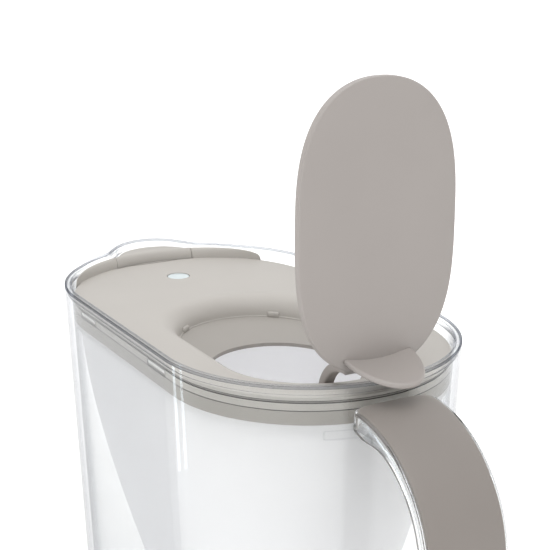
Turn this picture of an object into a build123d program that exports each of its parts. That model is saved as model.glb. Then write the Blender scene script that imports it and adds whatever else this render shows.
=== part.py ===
from build123d import *
from math import asin, atan, cos, degrees, radians, sin, sqrt
import os

# A hand-held water filter pitcher with its fill flap open.
# X points from the handle to the spout, Z up, the origin is the centre of the flat base.

# Jug
body_height = 268.0
rim_radius = 51.5
end_spacing = 77.0
wall_slope = 0.04
jug_wall = 2.5
floor_thickness = 3.5
bottom_corner = 9.0
rim_round = 0.8

# Spout
spout_reach = 7.0
spout_radius = 20.0
spout_low_radius = 8.0
spout_depth = 48.0
spout_rise = 2.0

# Handle
handle_reach = 40.8
handle_top_drop = 5.7
handle_bend = 42.0
handle_grip_length = 105.0
handle_cover_width = 26.0
handle_cover_edge = 0.8
handle_cover_thickness = 2.0
rib_drop = 13.2
rib_thickness = 2.5
rib_round = 8.0
rib_width = 24.0

# Lid
lid_drop = 4.7
lid_plate = 2.2
lid_skirt_depth = 4.2
lid_skirt_wall = 2.0
liner_skirt_depth = 4.5
liner_plate = 1.2
lid_gap = 0.3
edge_round = 0.6
groove_drop = 1.0
groove_height = 0.9
groove_depth = 0.5
skirt_slot_length = 14.0
skirt_slot_places = (-26.0, 33.0)

# Fill recess and flap
flap_length = 90.0
flap_width = 54.6
flap_thickness = 3.0
flap_inset = 4.2
flap_back_margin = 18.4
flap_gap = 0.4
shoulder_round = 7.2
shoulder_wall = 2.2
pocket_round_share = 0.9
fill_hole_length = 57.0
fill_hole_width = 47.0
fill_hole_back = 1.7
fill_floor_drop = 4.8
fill_floor_thickness = 1.3
funnel_lip = 1.0

# Flap hinge
hinge_inset = 7.7
hinge_below_flap = 2.5
arm_inner = 11.5
arm_outer = 14.5
arm_middle_y = 9.0
arm_width = 4.0
arm_gap = 0.4
arm_sweep_low = -110.0
arm_sweep_angle = 135.0
arm_rest_low = 20.0
arm_rest_angle = 60.0
hub_radius = 2.7
pin_radius = 1.2
running_gap = 0.05
seat_gap = 0.02
ear_width = 2.4
ear_proud = 0.2
spoke_width = 3.0
spoke_angle = 3.0
spoke_overlap = 6.0
merge_angle = 100.0
tab_width = 24.0
tab_length = 18.0
tab_thickness = 1.8
tab_height = 15.4
tab_fall = 2.3
tab_root = 1.0

# Front ridge and spout cover
ridge_radius = 52.9
ridge_inset = 2.7
ridge_height = 3.9
ridge_width = 2.3
ridge_half_angle = 56.0
cover_half_width = 16.5
cover_thickness = 1.8
cover_gap = 0.4
cover_back_gap = 0.8
cover_pivot_edge = 1.13
cover_pivot_drop = 0.7
cover_pin_radius = 0.7
cover_pin_length = 1.3
cover_pin_root = 1.0

# Filter light
light_inset = 27.2
button_radius = 4.2
button_gap = 0.3
button_flange = 1.1
button_height = 0.8
button_travel = 0.5
button_play = 0.15
plunger_length = 0.6
plunger_radius = 1.6
case_radius = 14.0
case_wall = 1.4
case_depth = 8.8
board_thickness = 1.0
switch_size = 4.5
switch_height = 1.0
switch_case_height = 0.7
chip_length = 1.6
chip_width = 0.9
chip_height = 0.6
cell_radius = 10.0
cell_height = 3.2
cell_bevel = 0.3
clip_thickness = 0.4
clip_width = 6.0
battery_cover_thickness = 1.6
coin_slot_width = 1.6
seal_wire = 1.2
seal_outer_gap = 0.2
seal_inner_gap = 0.1
fit_gap = 0.3

# Hopper
hopper_rim_gap = 0.4
hopper_flange = 2.0
hopper_wall = 1.8
hopper_neck_inset = 1.9
hopper_depth = 102.6
hopper_low_radius = 29.0
hopper_low_spacing = 33.0
hopper_low_x = -8.0
hopper_curve = 1.5
hopper_steps = 4
sleeve_length = 12.0
pour_channel_radius = 16.0
pour_channel_forward = 7.3
lug_height = 3.0
lug_reach = 1.5
rear_lug_half_width = 19.0
front_lug_width = 8.0

# Filter cartridge
cartridge_radius = 25.0
cartridge_foot_radius = 23.5
cartridge_wall = 1.6
cartridge_below = 62.0
cartridge_above = 36.0
cartridge_flange = 1.6
cartridge_flange_height = 2.4
cartridge_seal_height = 1.5
cartridge_hole_gap = 0.6
cap_height = 7.0
cap_round = 4.0
spigot_depth = 3.0
pull_loop_width = 22.0
pull_loop_height = 11.0
pull_loop_thickness = 4.0
screen_thickness = 0.8
cap_slot_count = 8
outlet_count = 6
outlet_radius = 2.2
hole_circle_share = 0.6

# Heights worked out from the sizes above
rim = body_height
lid_top = rim - lid_drop
plate_low = lid_top - lid_plate
shell_low = lid_top - lid_skirt_depth
liner_low = shell_low - liner_skirt_depth
liner_floor = liner_low + liner_plate
flange_low = liner_low - hopper_flange
hopper_floor = flange_low - hopper_depth
flap_top = lid_top - flap_inset
hinge_z = flap_top - hinge_below_flap


def outer_radius(height):
    """Radius of the jug's round ends at a height, on the outside"""
    return rim_radius - wall_slope * (body_height - height)


def inner_radius(height):
    """Radius of the jug's round ends at a height, on the inside"""
    return outer_radius(height) - jug_wall


lid_radius = inner_radius(liner_low) - lid_gap
hopper_rim_radius = inner_radius(flange_low) - hopper_rim_gap
neck_radius = hopper_rim_radius - hopper_neck_inset

# Places along the lid, measured from its front and rear ends
lid_end = end_spacing / 2 + lid_radius
flap_centre_x = flap_back_margin + flap_length / 2 - lid_end
fill_hole_x = flap_centre_x - fill_hole_back
hinge_x = hinge_inset - lid_end
ridge_centre_x = lid_end - ridge_inset - ridge_radius
cover_bore_end = cover_half_width + cover_gap + cover_pin_length
cover_pivot_x = end_spacing / 2 + sqrt(lid_radius**2 - cover_bore_end**2) - cover_pivot_edge
light_x = lid_end - light_inset
pour_channel_x = lid_end + pour_channel_forward


def slot_solid(sections, ruled=True):
    """A solid through slots, each given as height, centre x, centre spacing and radius"""
    with BuildPart() as block:
        for height, middle, spacing, radius in sections:
            with BuildSketch(Plane.XY.offset(height)):
                with Locations((middle, 0)):
                    SlotCenterToCenter(spacing, 2 * radius)
        loft(ruled=ruled)
    return block.part


def round_edges(block, height, radius):
    """The block with its edges at one height rounded"""
    with BuildPart() as rounded:
        add(block)
        fillet(rounded.edges().filter_by_position(Axis.Z, height - 0.01, height + 0.01), radius)
    return rounded.part


# Jug body, spout and the clear half of the handle

jug_outside = round_edges(
    slot_solid([(0, 0, end_spacing, outer_radius(0)), (rim, 0, end_spacing, rim_radius)]),
    0,
    bottom_corner,
)
cavity_above = rim + spout_rise + jug_wall
jug_inside = round_edges(
    slot_solid(
        [
            (floor_thickness, 0, end_spacing, inner_radius(floor_thickness)),
            (cavity_above, 0, end_spacing, inner_radius(cavity_above)),
        ]
    ),
    floor_thickness,
    bottom_corner - jug_wall,
)

spout_foot = rim - spout_depth
spout_foot_x = end_spacing / 2 + outer_radius(spout_foot) - spout_low_radius
spout_x = end_spacing / 2 + rim_radius + spout_reach - spout_radius
spout_tip_x = spout_x + spout_radius


def spout_circle(height, inset):
    """Centre x and radius of the spout's slanted cone at a height"""
    climb = (height - spout_foot) / spout_depth
    middle = spout_foot_x + climb * (spout_x - spout_foot_x)
    return middle, spout_low_radius + climb * (spout_radius - spout_low_radius) - inset


def spout_cone(inset, top):
    """The spout's cone, drawn in by the wall's thickness where it is the hollow"""
    with BuildPart() as cone:
        for height in (spout_foot, top):
            middle, radius = spout_circle(height, inset)
            with BuildSketch(Plane.XY.offset(height)):
                with Locations((middle, 0)):
                    Circle(radius)
        loft(ruled=True)
    return cone.part


spout_top = rim + spout_rise
spout_outside = spout_cone(0, spout_top)
spout_inside = spout_cone(jug_wall, cavity_above)
with BuildPart() as spout_trim:
    with BuildSketch(Plane.XZ):
        Polygon(
            (0, rim),
            (spout_x, rim),
            (spout_tip_x, spout_top),
            (spout_tip_x + spout_radius, spout_top),
            (spout_tip_x + spout_radius, cavity_above),
            (0, cavity_above),
            align=None,
        )
    extrude(amount=rim_radius, both=True)

# The handle is a crowned band on a clear rib. Both follow arcs joined by a straight grip.
lean = degrees(atan(wall_slope))
outward = Vector(-cos(radians(lean)), -sin(radians(lean)))
down = Vector(sin(radians(lean)), -cos(radians(lean)))
crown_x = -end_spacing / 2 - rim_radius - handle_reach
top_centre = Vector(crown_x + handle_bend, rim - handle_top_drop - handle_bend)
low_centre = top_centre + down * handle_grip_length
root_x = -end_spacing / 2 - outer_radius(low_centre.Y) + jug_wall / 2

cover_under_radius = handle_bend - handle_cover_thickness

with BuildPart() as handle_rib:
    with BuildSketch(Plane.XZ) as rib_outline:
        with BuildLine():
            ends = []
            bends = []
            for inset in (0, rib_thickness):
                radius = cover_under_radius - inset
                meeting = degrees(asin((rim - rib_drop - inset - top_centre.Y) / radius))
                top_arc = CenterArc(top_centre, radius, 180 - meeting, meeting + lean)
                low_arc = CenterArc(low_centre, radius, 180 + lean, 90 - lean)
                Line(top_arc @ 1, low_arc @ 0)
                top_run = Line(top_arc @ 0, (root_x, (top_arc @ 0).Y))
                low_run = Line(low_arc @ 1, (root_x, (low_arc @ 1).Y))
                ends.append((top_run @ 1, low_run @ 1))
                bends.append(top_arc @ 0)
            Line(ends[0][0], ends[1][0])
            Line(ends[0][1], ends[1][1])
        make_face()
        fillet([rib_outline.vertices().sort_by_distance(bend)[0] for bend in bends], rib_round)
    extrude(amount=rib_width / 2, both=True)

# One wide lug behind the handle and one on each side of the spout carry the hopper's flange
with BuildPart() as lug_ring:
    with BuildSketch(Plane.XY.offset(flange_low)):
        SlotCenterToCenter(end_spacing, 2 * (inner_radius(flange_low) + jug_wall / 2))
        SlotCenterToCenter(
            end_spacing, 2 * (inner_radius(flange_low) - lug_reach), mode=Mode.SUBTRACT
        )
    extrude(amount=-lug_height)
    with BuildSketch(Plane.XY.offset(flange_low)):
        with Locations((-end_spacing / 2 - rim_radius, 0)):
            Rectangle(2 * rim_radius, 2 * rear_lug_half_width)
        front_lug_y = spout_circle(flange_low, jug_wall)[1] + front_lug_width / 2
        with Locations((spout_x, front_lug_y), (spout_x, -front_lug_y)):
            Rectangle(2 * rim_radius, front_lug_width)
    extrude(amount=-lug_height, mode=Mode.INTERSECT)

with BuildPart() as spout_shell:
    add(spout_outside)
    add(spout_trim.part, mode=Mode.SUBTRACT)
    add(spout_inside, mode=Mode.SUBTRACT)
    add(jug_inside, mode=Mode.SUBTRACT)

with BuildPart() as jug_body:
    add(jug_outside)
    add(handle_rib.part)
    add(jug_inside, mode=Mode.SUBTRACT)
    fillet(jug_body.edges().filter_by_position(Axis.Z, rim - 0.01, rim + 0.01), rim_round)
    add(spout_inside, mode=Mode.SUBTRACT)
    add(spout_shell.part)
    add(lug_ring.part)
jug_body.part.label = "jug_body"

with BuildPart() as handle_cover:
    with BuildLine(Plane.XZ) as crown:
        crown_top = CenterArc((top_centre.X, top_centre.Y), handle_bend, 90, 90 + lean)
        grip_end = low_centre + outward * handle_bend
        Line(crown_top @ 1, (grip_end.X, grip_end.Y))
        CenterArc((low_centre.X, low_centre.Y), handle_bend, 180 + lean, 90 - lean)
    crown_start = Plane(
        origin=(top_centre.X, 0, top_centre.Y + handle_bend), x_dir=(0, 1, 0), z_dir=(-1, 0, 0)
    )
    with BuildSketch(crown_start):
        half = handle_cover_width / 2
        low_edge = handle_cover_thickness
        high_edge = handle_cover_thickness - handle_cover_edge
        with BuildLine():
            Polyline((-half, high_edge), (-half, low_edge), (half, low_edge), (half, high_edge))
            ThreePointArc((half, high_edge), (0, 0), (-half, high_edge))
        make_face()
    sweep(path=crown.line)
    add(jug_outside, mode=Mode.SUBTRACT)
handle_cover.part.label = "handle_cover"

# Lid: the shell carries the ridge and the recess, the liner closes it from below

recess_radius = flap_width / 2 + flap_gap
recess_spacing = flap_length - flap_width
ear_inner = arm_middle_y + arm_width / 2 + arm_gap
cover_pivot_z = lid_top - cover_pivot_drop


def ridge_profile(thickness):
    """Face between the concave ridge with its flat top and a parallel underside, in radius and height"""
    rise_end = ridge_radius + ridge_width
    reach = spout_tip_x - ridge_centre_x
    with BuildSketch(Plane.XZ) as face:
        with BuildLine():
            RadiusArc(
                (ridge_centre_x + ridge_radius, lid_top),
                (ridge_centre_x + rise_end, lid_top + ridge_height),
                -(ridge_height + ridge_width),
            )
            Polyline(
                (ridge_centre_x + rise_end, lid_top + ridge_height),
                (ridge_centre_x + reach, lid_top + ridge_height),
                (ridge_centre_x + reach, lid_top + ridge_height - thickness),
                (ridge_centre_x + rise_end + thickness / 2, lid_top + ridge_height - thickness),
                (ridge_centre_x + ridge_radius + thickness / 2, lid_top - thickness),
                (ridge_centre_x + ridge_radius, lid_top - thickness),
                (ridge_centre_x + ridge_radius, lid_top),
            )
        make_face()
    return face.sketch


ridge_axis = Axis((ridge_centre_x, 0, 0), (0, 0, 1))
ridge_full = ridge_profile(ridge_height)
cover_skin = ridge_profile(cover_thickness)

with BuildPart() as ridge:
    add(ridge_full)
    revolve(axis=ridge_axis, revolution_arc=ridge_half_angle)
    mirror(about=Plane.XZ)
    with BuildSketch(Plane.XY.offset(plate_low)):
        SlotCenterToCenter(end_spacing, 2 * lid_radius)
    extrude(amount=2 * ridge_height + lid_plate, mode=Mode.INTERSECT)

# Space swept by the gooseneck arms, with its clearance
arm_space_radius = arm_outer + arm_gap
with BuildPart() as arm_space:
    with BuildSketch(Plane.XZ.offset(-arm_width / 2 - arm_gap)):
        with BuildLine():
            start = CenterArc((hinge_x, hinge_z), arm_space_radius, arm_sweep_low, arm_sweep_angle)
            Line(start @ 1, (hinge_x, hinge_z))
            Line((hinge_x, hinge_z), start @ 0)
        make_face()
        with BuildLine():
            rest_arc = CenterArc((hinge_x, hinge_z), arm_space_radius, arm_rest_low, arm_rest_angle)
            bore_arc = CenterArc(
                (hinge_x, hinge_z), arm_inner - arm_gap, arm_rest_low, arm_rest_angle
            )
            Line(rest_arc @ 0, bore_arc @ 0)
            Line(rest_arc @ 1, bore_arc @ 1)
        make_face()
        with Locations((hinge_x, hinge_z)):
            Circle(hub_radius + arm_gap)
    extrude(amount=arm_width + 2 * arm_gap)

# Opening for the spout cover: the spout's own outline in front of the ridge's foot
cover_flat_low = lid_top + ridge_height - cover_thickness
cover_middle, cover_side = spout_circle(cover_flat_low, jug_wall + cover_gap)
with BuildPart() as cover_opening:
    with BuildSketch(Plane.XY.offset(liner_low)):
        with Locations((spout_x + rim_radius / 2, 0)):
            Rectangle(rim_radius, 2 * (cover_half_width + cover_gap))
        with Locations((ridge_centre_x, 0)):
            Circle(ridge_radius - cover_back_gap, mode=Mode.SUBTRACT)
    extrude(amount=rim)

with BuildPart() as lid_pocket:
    with BuildSketch(Plane.XY.offset(plate_low)):
        SlotCenterToCenter(end_spacing, 2 * (lid_radius - lid_skirt_wall))
        with Locations((flap_centre_x, 0)):
            SlotCenterToCenter(recess_spacing, 2 * (recess_radius + shoulder_wall), mode=Mode.SUBTRACT)
    extrude(amount=-(plate_low - liner_floor))
    inner_top = lid_pocket.faces().sort_by(Axis.Z)[-1].inner_wires()[0].edges()
    fillet(inner_top, (plate_low - liner_floor) * pocket_round_share)

with BuildPart() as lid_shell:
    with BuildSketch(Plane.XY.offset(shell_low)):
        SlotCenterToCenter(end_spacing, 2 * lid_radius)
    extrude(amount=lid_skirt_depth)
    fillet(lid_shell.faces().sort_by(Axis.Z)[-1].edges(), edge_round)
    with BuildSketch(Plane.XY.offset(liner_floor)):
        with Locations((flap_centre_x, 0)):
            SlotCenterToCenter(recess_spacing, 2 * (recess_radius + shoulder_wall))
    extrude(amount=shell_low - liner_floor + lid_plate)
    with BuildSketch(Plane.XY.offset(liner_floor)):
        with Locations((flap_centre_x, 0)):
            SlotCenterToCenter(recess_spacing, 2 * recess_radius)
    extrude(amount=lid_top - liner_floor, mode=Mode.SUBTRACT)
    fillet(lid_shell.faces().sort_by(Axis.Z)[-1].inner_wires()[0].edges(), shoulder_round)
    add(lid_pocket.part, mode=Mode.SUBTRACT)
    add(ridge.part)
    with BuildSketch(Plane.XY.offset(lid_top - groove_drop)):
        SlotCenterToCenter(end_spacing, 2 * (lid_radius + lid_gap))
        SlotCenterToCenter(end_spacing, 2 * (lid_radius - groove_depth), mode=Mode.SUBTRACT)
    extrude(amount=-groove_height, mode=Mode.SUBTRACT)
    with BuildSketch(Plane.XY.offset(shell_low)):
        with Locations(*[(place, 0) for place in skirt_slot_places]):
            Rectangle(skirt_slot_length, 4 * rim_radius)
        SlotCenterToCenter(
            end_spacing, 2 * (lid_radius - lid_skirt_wall), mode=Mode.SUBTRACT
        )
    extrude(amount=plate_low - shell_low, mode=Mode.SUBTRACT)
    add(cover_opening.part, mode=Mode.SUBTRACT)
    with BuildSketch(Plane.XY.offset(plate_low)):
        with Locations((light_x, 0)):
            Circle(button_radius + button_gap)
    extrude(amount=lid_plate, mode=Mode.SUBTRACT)
    with BuildSketch(Plane.XZ.offset(-cover_bore_end)):
        with Locations((cover_pivot_x, cover_pivot_z)):
            Circle(cover_pin_radius + running_gap)
    extrude(amount=2 * cover_bore_end, mode=Mode.SUBTRACT)
    for side in (-1, 1):
        with Locations((0, side * arm_middle_y, 0)):
            add(arm_space.part, mode=Mode.SUBTRACT)
lid_shell.part.label = "lid_shell"

recess_low_radius = fill_hole_width / 2
recess_low_spacing = fill_hole_length - fill_hole_width
funnel_low = liner_floor - fill_floor_drop
funnel_outside = slot_solid(
    [
        (liner_floor, flap_centre_x, recess_spacing, recess_radius + shoulder_wall),
        (
            funnel_low - fill_floor_thickness,
            fill_hole_x,
            recess_low_spacing,
            recess_low_radius + funnel_lip,
        ),
    ]
)
funnel_inside = slot_solid(
    [
        (liner_floor, flap_centre_x, recess_spacing, recess_radius),
        (funnel_low, fill_hole_x, recess_low_spacing, recess_low_radius),
    ]
)
ear_radius = hub_radius + ear_proud

with BuildPart() as lid_liner:
    with BuildSketch(Plane.XY.offset(liner_low)):
        SlotCenterToCenter(end_spacing, 2 * lid_radius)
    extrude(amount=liner_skirt_depth)
    with BuildSketch(Plane.XY.offset(liner_floor)):
        SlotCenterToCenter(end_spacing, 2 * (lid_radius - lid_skirt_wall))
    extrude(amount=shell_low - liner_floor, mode=Mode.SUBTRACT)
    add(funnel_outside)
    add(funnel_inside, mode=Mode.SUBTRACT)
    with BuildSketch(Plane.XY.offset(funnel_low)):
        with Locations((fill_hole_x, 0)):
            SlotCenterToCenter(recess_low_spacing, 2 * recess_low_radius)
    extrude(amount=-2 * fill_floor_thickness, mode=Mode.SUBTRACT)
    with BuildSketch(Plane.XY.offset(liner_low)):
        with Locations((light_x, 0)):
            Circle(case_radius + fit_gap)
        with Locations((pour_channel_x, 0)):
            Circle(pour_channel_radius)
    extrude(amount=liner_skirt_depth, mode=Mode.SUBTRACT)
    for side in (-1, 1):
        with Locations((0, side * arm_middle_y, 0)):
            add(arm_space.part, mode=Mode.SUBTRACT)
    for middle, width in (
        (0, 2 * (arm_middle_y - arm_width / 2 - arm_gap)),
        (ear_inner + ear_width / 2, ear_width),
        (-ear_inner - ear_width / 2, ear_width),
    ):
        with BuildSketch(Plane.XZ.offset(-middle - width / 2)):
            with Locations((hinge_x, hinge_z)):
                Circle(ear_radius)
            with Locations((hinge_x, liner_low)):
                Rectangle(2 * ear_radius, hinge_z - liner_low, align=(Align.CENTER, Align.MIN))
                Rectangle(
                    2 * ear_radius, ear_radius, align=(Align.CENTER, Align.MAX), mode=Mode.SUBTRACT
                )
            with Locations((hinge_x, hinge_z)):
                Circle(pin_radius + seat_gap, mode=Mode.SUBTRACT)
        extrude(amount=width)
    with BuildSketch(Plane.XZ.offset(-ear_inner - ear_width)):
        with Locations((hinge_x, hinge_z)):
            Circle(pin_radius + seat_gap)
    extrude(amount=2 * (ear_inner + ear_width), mode=Mode.SUBTRACT)
    with BuildSketch(Plane.XY.offset(shell_low)):
        with Locations(*[(place, 0) for place in skirt_slot_places]):
            Rectangle(skirt_slot_length - 2 * fit_gap, 4 * rim_radius)
        SlotCenterToCenter(
            end_spacing, 2 * (lid_radius - groove_depth), mode=Mode.INTERSECT
        )
        SlotCenterToCenter(
            end_spacing, 2 * (lid_radius - lid_skirt_wall), mode=Mode.SUBTRACT
        )
    extrude(amount=plate_low - shell_low - fit_gap)
lid_liner.part.label = "lid_liner"

with BuildPart() as flap_hinge_pin:
    with BuildSketch(Plane.XZ.offset(-ear_inner - ear_width)):
        with Locations((hinge_x, hinge_z)):
            Circle(pin_radius)
    extrude(amount=2 * (ear_inner + ear_width))
flap_hinge_pin.part.label = "flap_hinge_pin"

# Fill flap, drawn standing open: plate, thumb tab and two gooseneck arms
flap_back_x = hinge_x - hinge_below_flap
flap_middle_z = hinge_z + flap_centre_x - hinge_x
tab_angle = atan(tab_fall / tab_length)
tab_plane = Plane(
    origin=(flap_back_x, 0, hinge_z + tab_height),
    x_dir=(0, 1, 0),
    z_dir=(-sin(tab_angle), 0, cos(tab_angle)),
)
with BuildPart() as fill_flap:
    with BuildSketch(Plane.XZ.offset(-arm_middle_y - arm_width / 2)):
        with BuildLine():
            arm_start = spoke_angle - spoke_overlap
            outer = CenterArc((hinge_x, hinge_z), arm_outer, arm_start, merge_angle - arm_start)
            inner = CenterArc((hinge_x, hinge_z), arm_inner, arm_start, merge_angle - arm_start)
            Line(outer @ 0, inner @ 0)
            Line(outer @ 1, inner @ 1)
        make_face()
        with Locations((hinge_x, hinge_z)):
            Circle(hub_radius)
        spoke_length = (arm_inner + arm_outer) / 2
        with Locations(
            (
                hinge_x + spoke_length / 2 * cos(radians(spoke_angle)),
                hinge_z + spoke_length / 2 * sin(radians(spoke_angle)),
            )
        ):
            Rectangle(spoke_length, spoke_width, rotation=spoke_angle)
        with Locations((hinge_x, hinge_z)):
            Circle(pin_radius + running_gap, mode=Mode.SUBTRACT)
    extrude(amount=arm_width)
    mirror(about=Plane.XZ)
    with BuildSketch(Plane(origin=(flap_back_x, 0, flap_middle_z), x_dir=(0, 1, 0), z_dir=(1, 0, 0))):
        SlotCenterToCenter(recess_spacing, flap_width, rotation=90)
    extrude(amount=flap_thickness)
    with BuildSketch(tab_plane):
        Ellipse(tab_width / 2, tab_length)
        with Locations((0, -tab_root)):
            Rectangle(2 * tab_width, 2 * tab_length, align=(Align.CENTER, Align.MAX), mode=Mode.SUBTRACT)
    extrude(amount=tab_thickness / 2, both=True)
fill_flap.part.label = "fill_flap"

with BuildPart() as spout_cover:
    add(cover_skin)
    revolve(axis=ridge_axis, revolution_arc=ridge_half_angle)
    mirror(about=Plane.XZ)
    with BuildSketch(Plane.XY.offset(liner_low)):
        with Locations((cover_middle, 0)):
            Circle(cover_side)
        Rectangle(4 * rim_radius, 2 * cover_half_width, mode=Mode.INTERSECT)
    extrude(amount=rim, mode=Mode.INTERSECT)
    with BuildSketch(Plane.XZ.offset(-cover_half_width - cover_pin_length)):
        with Locations((cover_pivot_x, cover_pivot_z)):
            Circle(cover_pin_radius)
    extrude(amount=cover_pin_length + cover_pin_root)
    with BuildSketch(Plane.XZ.offset(cover_half_width - cover_pin_root)):
        with Locations((cover_pivot_x, cover_pivot_z)):
            Circle(cover_pin_radius)
    extrude(amount=cover_pin_length + cover_pin_root)
spout_cover.part.label = "spout_cover"

# Filter light under the lid: button, board with switch and light chips, cell, sealed case

light_plane = Plane.XY.shift_origin((light_x, 0, 0))
button_low = plate_low - button_play - button_height
plunger_low = button_low - plunger_length
switch_top = plunger_low - button_travel - button_play
board_top = switch_top - switch_height
board_low = board_top - board_thickness
cell_top = board_low - fit_gap
cell_low = cell_top - cell_height
clip_low = cell_low - clip_thickness
case_low = plate_low - case_depth
case_bore = case_radius - case_wall
seal_low = case_low - seal_wire

with BuildPart() as indicator_button:
    with BuildSketch(light_plane.offset(plunger_low)):
        Circle(plunger_radius)
    extrude(amount=button_low - plunger_low)
    with BuildSketch(light_plane.offset(button_low)):
        Circle(button_radius + button_gap + button_flange)
    extrude(amount=button_height)
    with BuildSketch(light_plane.offset(button_low)):
        Circle(button_radius)
    extrude(amount=lid_top - button_low)
indicator_button.part.label = "indicator_button"

with BuildPart() as tact_switch:
    with BuildSketch(light_plane.offset(board_top)):
        Rectangle(switch_size, switch_size)
    extrude(amount=switch_case_height)
    with BuildSketch(light_plane.offset(board_top)):
        Circle(plunger_radius)
    extrude(amount=switch_height)
tact_switch.part.label = "tact_switch"

with BuildPart() as light_chips:
    with BuildSketch(light_plane.offset(board_top)):
        with Locations((switch_size, 0), (-switch_size, 0)):
            Rectangle(chip_length, chip_width)
    extrude(amount=chip_height)
light_chips.part.label = "light_chips"

with BuildPart() as indicator_board:
    with BuildSketch(light_plane.offset(board_low)):
        Circle(case_bore - fit_gap)
    extrude(amount=board_thickness)
indicator_board.part.label = "indicator_board"

with BuildPart() as coin_cell:
    with BuildSketch(light_plane.offset(cell_low)):
        Circle(cell_radius)
    extrude(amount=cell_height)
    chamfer(coin_cell.edges().filter_by(GeomType.CIRCLE), cell_bevel)
coin_cell.part.label = "coin_cell"

with BuildPart() as battery_clip:
    with BuildSketch(light_plane.offset(clip_low)):
        Rectangle(2 * (cell_radius + fit_gap + clip_thickness), clip_width)
    extrude(amount=board_low - clip_low)
    with BuildSketch(light_plane.offset(cell_low)):
        Rectangle(2 * (cell_radius + fit_gap), clip_width)
    extrude(amount=board_low - cell_low, mode=Mode.SUBTRACT)
battery_clip.part.label = "battery_clip"

with BuildPart() as indicator_case:
    with BuildSketch(light_plane.offset(case_low)):
        Circle(case_radius)
        Circle(case_bore, mode=Mode.SUBTRACT)
    extrude(amount=case_depth)
    with BuildSketch(light_plane.offset(board_low)):
        Circle(case_bore)
        Circle(case_bore - case_wall, mode=Mode.SUBTRACT)
    extrude(amount=-board_thickness)
indicator_case.part.label = "indicator_case"

with BuildPart() as case_seal:
    with BuildSketch(light_plane.offset(seal_low)):
        Circle(case_radius - seal_outer_gap)
        Circle(case_bore + seal_inner_gap, mode=Mode.SUBTRACT)
    extrude(amount=seal_wire)
case_seal.part.label = "case_seal"

with BuildPart() as battery_cover:
    with BuildSketch(light_plane.offset(seal_low)):
        Circle(case_radius)
    extrude(amount=-battery_cover_thickness)
    fillet(battery_cover.faces().sort_by(Axis.Z)[0].edges(), battery_cover_thickness / 2)
    with BuildSketch(light_plane.offset(seal_low)):
        Circle(case_bore - fit_gap / 2)
        Circle(case_bore - case_wall, mode=Mode.SUBTRACT)
    extrude(amount=2 * seal_wire)
    with BuildSketch(light_plane.offset(seal_low - battery_cover_thickness)):
        Rectangle(case_radius, coin_slot_width)
    extrude(amount=battery_cover_thickness / 2, mode=Mode.SUBTRACT)
battery_cover.part.label = "battery_cover"

# Hopper: flange, tapering funnel with a pour channel at the front, floor with the cartridge's seat

def hopper_section(height, inset):
    """The funnel's slot at a height: it draws in slowly near the rim and faster below"""
    share = (max(flange_low - height, 0) / hopper_depth) ** hopper_curve
    middle = share * hopper_low_x
    spacing = end_spacing + share * (hopper_low_spacing - end_spacing)
    radius = neck_radius + share * (hopper_low_radius - neck_radius)
    return height, middle, spacing, radius - inset


hopper_outside = slot_solid(
    [
        hopper_section(flange_low - step * (hopper_depth + hopper_wall) / hopper_steps, 0)
        for step in range(hopper_steps + 1)
    ],
    ruled=False,
)
hopper_inside = slot_solid(
    [
        hopper_section(flange_low - step * hopper_depth / hopper_steps, hopper_wall)
        for step in range(hopper_steps + 1)
    ],
    ruled=False,
)
channel_plane = Plane.XY.shift_origin((pour_channel_x, 0, 0))

with BuildPart() as hopper_room:
    add(hopper_inside)
    with BuildSketch(Plane.XY.offset(flange_low)):
        SlotCenterToCenter(end_spacing, 2 * (neck_radius - hopper_wall))
    extrude(amount=hopper_flange)
    with BuildSketch(channel_plane.offset(hopper_floor)):
        Circle(pour_channel_radius + hopper_wall)
    extrude(amount=rim - hopper_floor, mode=Mode.SUBTRACT)

seat_radius = cartridge_radius + cartridge_hole_gap
with BuildPart() as hopper:
    add(hopper_outside)
    with BuildSketch(Plane.XY.offset(flange_low)):
        SlotCenterToCenter(end_spacing, 2 * hopper_rim_radius)
    extrude(amount=hopper_flange)
    with BuildSketch(channel_plane.offset(hopper_floor)):
        Circle(pour_channel_radius)
    extrude(amount=rim - hopper_floor, mode=Mode.SUBTRACT)
    add(hopper_room.part, mode=Mode.SUBTRACT)
    with BuildSketch(Plane.XY.offset(hopper_floor)):
        with Locations((hopper_low_x, 0)):
            Circle(seat_radius + hopper_wall)
    extrude(amount=-sleeve_length)
    with BuildSketch(Plane.XY.offset(hopper_floor)):
        with Locations((hopper_low_x, 0)):
            Circle(seat_radius)
    extrude(amount=-sleeve_length, mode=Mode.SUBTRACT)
hopper.part.label = "hopper"

# Filter cartridge: cup, cap with pull loop, seal, two screens and the granules between them

cartridge_axis = Axis((hopper_low_x, 0, 0), (0, 0, 1))
cartridge_plane = Plane.XY.shift_origin((hopper_low_x, 0, 0))
cup_top = hopper_floor + cartridge_above
cup_low = hopper_floor - cartridge_below
cup_floor = cup_low + cartridge_wall
seal_top = hopper_floor + cartridge_seal_height
screen_top = cup_top - spigot_depth
media_top = screen_top - screen_thickness
media_low = cup_floor + screen_thickness


def cup_bore(height):
    """Inner radius of the cup at a height"""
    share = min((height - cup_low) / cartridge_below, 1)
    return cartridge_foot_radius + share * (cartridge_radius - cartridge_foot_radius) - cartridge_wall


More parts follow.
